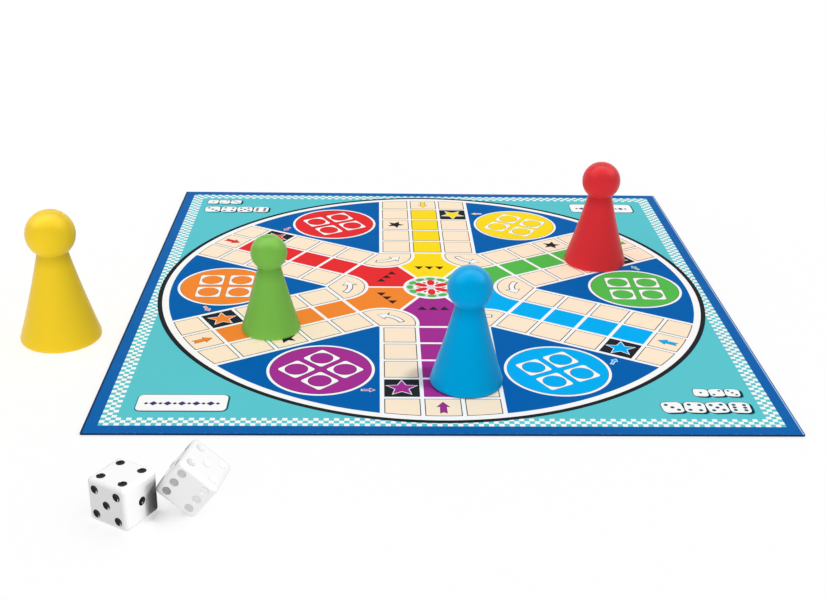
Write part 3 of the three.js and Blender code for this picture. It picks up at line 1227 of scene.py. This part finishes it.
def set_flag(place):
    """A small black card, out of the camera's sight, that shades the crease between the dice."""
    shape = tile(CARD_WIDTH, CARD_HEIGHT)
    shift(shape, -CARD_WIDTH / 2, CARD_HEIGHT / 2, 0)
    stand = Matrix.Translation(middle_of("die_one") / MM) @ place
    beside = Matrix.Translation((DIE / 2 + CARD_GAP, DIE / 2 + CARD_GAP, -DIE / 2))
    upright = turn(90 + CARD_OPEN) @ Matrix.Rotation(math.pi / 2, 4, "X")
    carry(shape, stand @ beside @ upright)
    made, _, shader = material("black_card", specular=0.5)
    plug(shader, {"Base Color": (0.01, 0.01, 0.01, 1), "Roughness": 1.0})
    flag = into_object(shape, "flag", made)
    flag.visible_camera = False
    return flag


def lamp(name, kind, direction, strength, **settings):
    """A lamp that shines from a direction towards the board."""
    made = bpy.data.objects.new(name, bpy.data.lights.new(name, kind))
    made.data.energy = strength
    for label, value in settings.items():
        setattr(made.data, label, value)
    away = Vector(direction).normalized()
    made.location = away * LAMP_DISTANCE
    made.rotation_mode = "QUATERNION"
    made.rotation_quaternion = away.to_track_quat("Z", "Y")
    bpy.context.scene.collection.objects.link(made)
    return made


def only_for(made, receivers, blockers=None):
    """Limits a lamp to some pieces, and its shadows to some of them."""
    lit = bpy.data.collections.new(made.name + "_lit")
    for piece in receivers:
        lit.objects.link(piece)
    made.light_linking.receiver_collection = lit
    if blockers is not None:
        shade = bpy.data.collections.new(made.name + "_shade")
        for piece in blockers:
            shade.objects.link(piece)
        made.light_linking.blocker_collection = shade


def sun(name, receivers, blockers):
    """A far lamp from the table."""
    direction, strength, width = SUNS[name]
    made = lamp(name, "SUN", direction, strength, angle=math.radians(width))
    only_for(made, receivers, blockers)
    return made


def pawn_key(name, piece, turned, rise):
    """A pawn's own key lamp, which stands on the camera's side of it."""
    towards = Vector(CAMERA_AT) - middle_of("pawn_" + name)
    aside = Matrix.Rotation(math.radians(turned), 3, "Z") @ towards.to_2d().to_3d().normalized()
    made = lamp("pawn_key_" + name, "SUN", (aside.x, aside.y, rise), PAWN_KEY,
                angle=math.radians(PAWN_KEY_WIDTH))
    made.visible_glossy = False
    only_for(made, [piece], [piece])


def set_lamps(pawns, dice, flag):
    """The photo lights each item by itself, and so do these lamps."""
    things = [thing for thing in bpy.context.scene.objects if thing.type == "MESH"]
    moulded = list(pawns.values())
    dice_things = [thing for thing in things if thing in dice or "pips" in thing.name]
    board_things = [thing for thing in things if thing not in moulded + dice_things]
    sun("board_key", board_things, [pawns["blue"]])
    for name, (_, turned, rise) in PAWNS.items():
        pawn_key(name, pawns[name], turned, rise)
    sun("pawn_back", moulded, moulded).visible_glossy = False
    length, width = SOFTBOX_SIZE
    softbox = lamp("softbox", "AREA", SOFTBOX_FROM, SOFTBOX, shape="RECTANGLE", size=length, size_y=width)
    softbox.visible_diffuse = False
    softbox.visible_camera = False
    only_for(softbox, moulded)
    one = [thing for thing in dice_things if "die_one" in thing.name]
    two = [thing for thing in dice_things if "die_two" in thing.name]
    sun("dice_key", one, dice_things + [flag])
    sun("leaning_key", two, dice_things)
    sun("dice_side", one, dice_things + [flag])
    sun("dice_front", two, two)
    pips = [thing for thing in one if "pips" in thing.name]
    for name in ("glint_left", "glint_right"):
        sun(name, pips, pips).visible_diffuse = False


# The whole set

set_camera()
set_world()
set_floor()

print_face()
skin, blue_paper = cover_skin(), cover_paper()
for half, side in HALVES.items():
    cover_half(skin, half, side, blue_paper)
skin.free()
hinge_tape(book_cloth())
board_core, paper = greyboard(), sheet_paper()
for half in HALVES:
    for node, finish in (("panel_core_", board_core), ("face_sheet_", paper)):
        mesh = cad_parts[node + half].data
        mesh.materials.clear()
        mesh.materials.append(finish)

pawns = {}
for name, (colour, _, _) in PAWNS.items():
    pawns[name] = pawn(name, pawn_plastic(name, colour))

cube, white_plastic, black_paint = dished_cube(), die_plastic(), pip_paint()
flat_place = Matrix.Rotation(DIE_ONE_TURN, 4, "Z")
low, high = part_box("die_two")
# Grey pips with painted light, paler towards one side
grey_paint = worn_pip_paint(low.x - PAINTED_LIGHT_BEFORE * MM, low.x * (1 - PAINTED_LIGHT_SHARE) + high.x * PAINTED_LIGHT_SHARE)
dice = [
    die("die_one", "flat_die", cube, flat_place, white_plastic,
        [("pips", (1, 2, 3, 4, 5, 6), black_paint)]),
    die("die_two", "leaning_die", cube, leaning_place(), white_plastic,
        [("pips", (1, 2, 4), black_paint), ("worn_pips", (3, 5, 6), grey_paint)]),
]
cube.free()
set_lamps(pawns, dice, set_flag(flat_place))

bpy.context.scene.view_settings.view_transform = "Standard"
